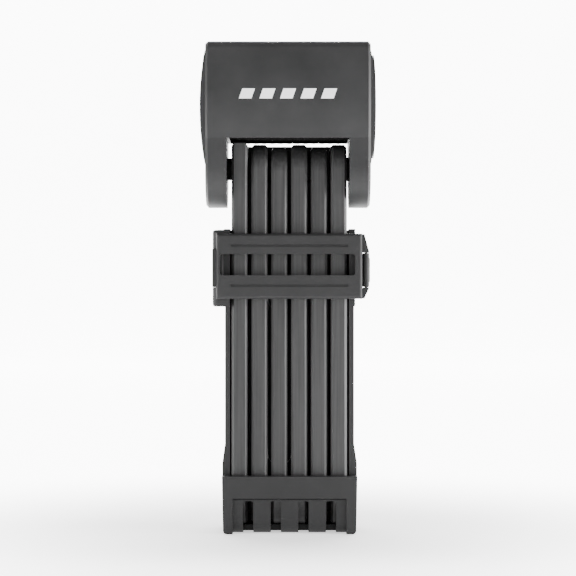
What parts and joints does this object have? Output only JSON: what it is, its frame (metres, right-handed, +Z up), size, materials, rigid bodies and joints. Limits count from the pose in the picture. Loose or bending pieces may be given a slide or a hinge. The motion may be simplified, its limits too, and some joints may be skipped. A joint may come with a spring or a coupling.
{
  "type": "folding bike lock",
  "caption": "Folding bicycle lock: jacketed steel bars riveted in a folded stack under a keyed lock head, carried in a frame holder with a swinging gate.",
  "frame": {"origin": "middle of the bounding box's base, under the holder's cup", "axes": "+Z up along the folded bars, +X to the right seen from the front, +Y to the back, towards the bicycle frame"},
  "size_m": [0.071, 0.034, 0.1977],
  "materials": {
    "hard_steel": "satin",
    "black_steel": "satin",
    "screw_steel": "satin",
    "lock_brass": "satin",
    "head_plastic": "matte",
    "cap_plastic": "matte",
    "bar_plastic": "matte",
    "holder_plastic": "matte"
  },
  "bodies": {
    "holder": {"holder_frame": "holder_plastic", "gate_hinge_pin": "screw_steel"},
    "lock": {"bar_1": "hard_steel", "bar_2": "hard_steel", "bar_3": "hard_steel", "bar_4": "hard_steel", "bar_5": "hard_steel", "bar_6": "hard_steel", "bar_jacket_1": "bar_plastic", "bar_jacket_2": "bar_plastic", "bar_jacket_3": "bar_plastic", "bar_jacket_4": "bar_plastic", "bar_jacket_5": "bar_plastic", "bar_jacket_6": "bar_plastic", "lower_rivets": "black_steel", "upper_rivets": "black_steel", "pivot_washers": "black_steel", "head_rivet": "black_steel", "locking_stud": "black_steel", "head_core": "black_steel", "head_front_cover": "head_plastic", "head_rear_cover": "head_plastic", "cover_screws": "screw_steel", "left_cap": "cap_plastic", "right_cap": "cap_plastic", "keyhole_cover_screw": "screw_steel", "cylinder_housing": "lock_brass", "plug_retaining_ring": "screw_steel", "bolt_cover_plate": "hard_steel"},
    "gate": {"gate_strap": "holder_plastic", "latch_pin": "screw_steel"},
    "latch": {"gate_latch": "holder_plastic"},
    "keyhole_cover": {"keyhole_cover": "cap_plastic"},
    "plug": {"key_plug": "lock_brass", "disc_tumblers": "lock_brass", "sidebar": "lock_brass"},
    "bolt": {"locking_bolt": "hard_steel"}
  },
  "joints": [
    {"name": "lock_lift", "type": "slide", "parent": "holder", "child": "lock", "axis": [0, 0, 1], "range_m": [0, 0.16]},
    {"name": "gate_hinge", "type": "hinge", "parent": "holder", "child": "gate", "pos_m": [-0.0281, -0.009, 0.1066], "axis": [0, 0, -1], "range_deg": [0, 110]},
    {"name": "latch_hinge", "type": "hinge", "parent": "gate", "child": "latch", "pos_m": [0.0314, -0.0114, 0.1058], "axis": [0, 0, -1], "range_deg": [0, 25], "stiffness_Nm_per_rad": 0.02, "springref_deg": -11.46},
    {"name": "keyhole_cover_swing", "type": "hinge", "parent": "lock", "child": "keyhole_cover", "pos_m": [0.035, 0, 0.184], "axis": [1, 0, 0], "range_deg": [-100, 100]},
    {"name": "key_turn", "type": "hinge", "parent": "lock", "child": "plug", "pos_m": [0.02, 0, 0.176], "axis": [1, 0, 0], "range_deg": [0, 90]},
    {"name": "bolt_slide", "type": "slide", "parent": "lock", "child": "bolt", "axis": [0, 0, 1], "range_m": [0, 0.00425]}
  ],
  "couplings": [
    {"joint": "bolt_slide", "follows": "key_turn", "m_per_rad": 0.002701}
  ]
}
